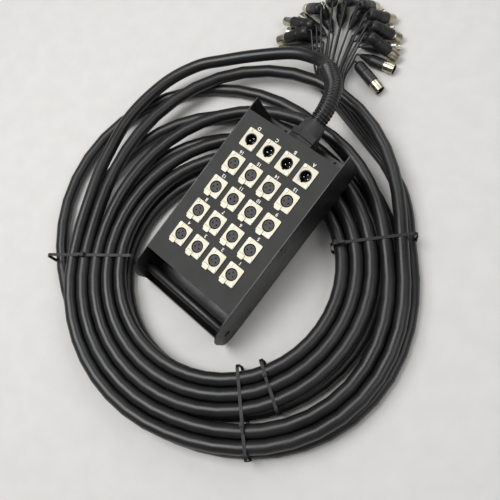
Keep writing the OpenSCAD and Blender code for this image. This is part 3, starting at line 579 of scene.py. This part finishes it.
tail_rubber = finish("tail_rubber", (0.010, 0.010, 0.011), (0.018, 0.018, 0.019), 0.34,
                     drift=60, grain=0.15)
plug_black = finish("plug_black", (0.009, 0.009, 0.0095), (0.016, 0.016, 0.0165), 0.42,
                    drift=70, grain=0.3, dust=0.18)
barrel_nickel = finish("barrel_nickel", (0.40, 0.36, 0.27), (0.60, 0.56, 0.44), 0.24, metal=1.0,
                       drift=120, grain=0.08, worn=(0.45, 0.4, 0.3))
zinc = finish("zinc_plate", (0.5, 0.5, 0.51), (0.64, 0.64, 0.64), 0.34, metal=1.0)


def plug_place(i):
    """Where a plug's boot starts, and the way that the plug points."""
    k, up = i // 2, i % 2
    az = FAN_FROM - FAN_STEP * (k + 0.5 * up) + (UP_SHIFT + TURN_UP[k] if up else 0)
    dip = DIP_UP[k] if up else 0
    r = FAN_R + (PUSH_UP if up else PUSH_LOW)[k]
    tip = NOSE_D if i in RETURNS else BARREL_D
    z = PLUG_L * sind(dip) + tip / 2 * cosd(dip) + TIP_GAP + LIFT_UP[k] if up else PLUG_D / 2
    entry = Vector((FAN_MID[0] + r * cosd(az), FAN_MID[1] + r * sind(az), z))
    return entry, Vector((cosd(az) * cosd(dip), sind(az) * cosd(dip), -sind(dip)))


def tail_line(i):
    """Tail from the boot's mouth through its lane to its plug, with rounded corners."""
    k, up = i // 2, i % 2
    entry, way = plug_place(i)
    across = Vector((BREAK_WAY.y, -BREAK_WAY.x, 0))
    side = Vector((LANE_WAY.y, -LANE_WAY.x, 0))
    start = BREAK + BREAK_WAY * BOOT_MOUTH + across * (k // 2 - 2) * BUNDLE
    start.z += (k % 2 - (-0.5 if up else 1.5)) * BUNDLE
    lane = LANE_MID + side * (k - 4.5) * LANE_GAP
    lane.z = TAIL / 2 + TAIL_LIFT + BUNDLE * (k % 2 + 2 * up)
    p = [start, lane, entry - way * STRAIGHT_IN, entry]
    out = [p[0]]
    for a, b, c in zip(p, p[1:], p[2:]):
        r = min((b - a).length, (c - b).length) * CORNER
        s, e = b + (a - b).normalized() * r, b + (c - b).normalized() * r
        bend = (n / 10 for n in range(11))
        out += [s * (1 - t) ** 2 + b * 2 * t * (1 - t) + e * t * t for t in bend]
    return out + [p[-1]]


def body_profile(blunt):
    """Boot with flex grooves, blunt and round or long and tapered, then the grip with its ring."""
    if blunt:
        out = [(0, 1.6), (2.2, 1.6), (2.5, 0.3), (3.2, 0), (5.2, 0), (6.5, 0.5), (7.9, 2),
               (9.1, 4.2), (9.7, 6.4), (9.9, 8.4)]
        for h in (9.4, 12.6, 15.8):
            out += [(9.9, h), (9.1, h + 0.2), (9.1, h + 1.2), (9.9, h + 1.4)]
    else:
        out = [(0, 0), (3.1, 0), (3.4, 0.5)]
        for g in range(4):
            h = 3 + g * 3.6
            r = 3.4 + (PLUG_D / 2 - 3.4) * h / BOOT_L
            out += [(r - 0.1, h - 0.2), (r - 0.9, h), (r - 0.75, h + 1.2), (r + 0.35, h + 1.4)]
    grip, r = BOOT_L, PLUG_D / 2
    end = grip + BODY_L
    out += [(r - 0.6, grip - 1), (r - 0.1, grip), (r - 0.1, grip + 0.8), (r - 0.7, grip + 0.9),
            (r - 0.7, grip + 1.9), (r, grip + 2)]
    return out + [(r, end - 0.8), (r - 0.6, end), (3, end), (0, end - 1)]


def barrel_profile():
    """Open metal barrel with a groove near its root and a rolled mouth."""
    r, root, mouth, wall = BARREL_D / 2, BOOT_L + BODY_L, PLUG_L, 1.1
    return [(r - wall, root - 8), (r, root - 8), (r, root + 1.2), (r - 0.35, root + 1.5),
            (r - 0.35, root + 2.3), (r, root + 2.6), (r, mouth - 0.5), (r - 0.3, mouth - 0.1),
            (r - 0.6, mouth), (r - wall, mouth - 0.3)]


for i in range(20):
    entry, way = plug_place(i)
    line = tail_line(i)
    number = "%02d" % (i + 1)
    kind = "return" if i in RETURNS else "send"
    tail = cord("tail_" + number, line, TAIL, tail_rubber, sides=3)
    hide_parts(kind + "_tails")
    body = aimed(spun(body_profile(i % 2 == 1)), entry, way)
    body = made(body, "plug_body_" + number, plug_black)
    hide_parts(kind + "_bodies")
    on_it = [body, kind + "_inserts"]
    if kind == "send":
        barrel = aimed(spun(barrel_profile(), 40, closed=True), entry, way)
        barrel = made(barrel, "plug_barrel_" + number, barrel_nickel, crease=30)
        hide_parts("send_barrels")
        on_it += [barrel, "send_pins"]
    else:
        on_it += ["return_barrels", "return_contacts", "release_%d" % (RETURNS.index(i) + 1)]
coat(cup_black, ["send_inserts"])
coat(silver, ["send_pins"])
coat(barrel_nickel, ["return_barrels"], edge=0.3)
coat(insert_grey, ["return_inserts"], edge=0.2)
coat(gold, ["return_contacts"])
coat(zinc, ["release_1", "release_2", "release_3", "release_4"], edge=0.4)

# Floor, light and camera
# A plain pale floor under broad soft light. The camera was fitted to the twenty
# socket plates of the photograph.

bm = bmesh.new()
bmesh.ops.create_grid(bm, x_segments=1, y_segments=1, size=6)
ground = bpy.data.meshes.new("floor")
bm.to_mesh(ground)
bm.free()
floor = bpy.data.objects.new("floor", ground)
bpy.context.collection.objects.link(floor)
ground.materials.append(finish("floor", (0.66, 0.65, 0.63), (0.69, 0.68, 0.66), 0.9, grain=0.03))


def softbox(name, at, size, power):
    """Square lamp at a place in metres, turned towards the origin."""
    lamp = bpy.data.lights.new(name, 'AREA')
    lamp.size, lamp.energy = size, power
    o = bpy.data.objects.new(name, lamp)
    bpy.context.collection.objects.link(o)
    turn = (-Vector(at)).to_track_quat('-Z', 'Y').to_matrix().to_4x4()
    o.matrix_world = Matrix.Translation(at) @ turn


softbox("overhead", (-0.75, -0.45, 2.0), 1.3, 38)
softbox("side", (1.3, 0.5, 1.5), 1.2, 8)
softbox("back", (-0.3, 1.6, 1.5), 1.2, 10)
world = bpy.data.worlds.new("world")
bpy.context.scene.world = world
world.use_nodes = True
sky = world.node_tree.nodes["Background"]
sky.inputs["Color"].default_value = (0.82, 0.83, 0.85, 1)
sky.inputs["Strength"].default_value = 0.26
bpy.context.scene.view_settings.view_transform = 'Standard'

CAM_AT = Vector((321.4, -134.98, 804.06)) * MM
CAM_RIGHT = Vector((0.73734, 0.64896, -0.18755))
CAM_DOWN = Vector((0.57573, -0.74895, -0.32803))
CAM_AHEAD = Vector((-0.35335, 0.13389, -0.92586))
cam = bpy.data.objects.new("camera", bpy.data.cameras.new("camera"))
bpy.context.collection.objects.link(cam)
aim = Matrix((CAM_RIGHT, -CAM_DOWN, -CAM_AHEAD)).transposed().to_4x4()
cam.matrix_world = Matrix.Translation(CAM_AT) @ aim
cam.data.sensor_width, cam.data.lens, cam.data.clip_start = 36, 38.16, 0.01
bpy.context.scene.camera = cam
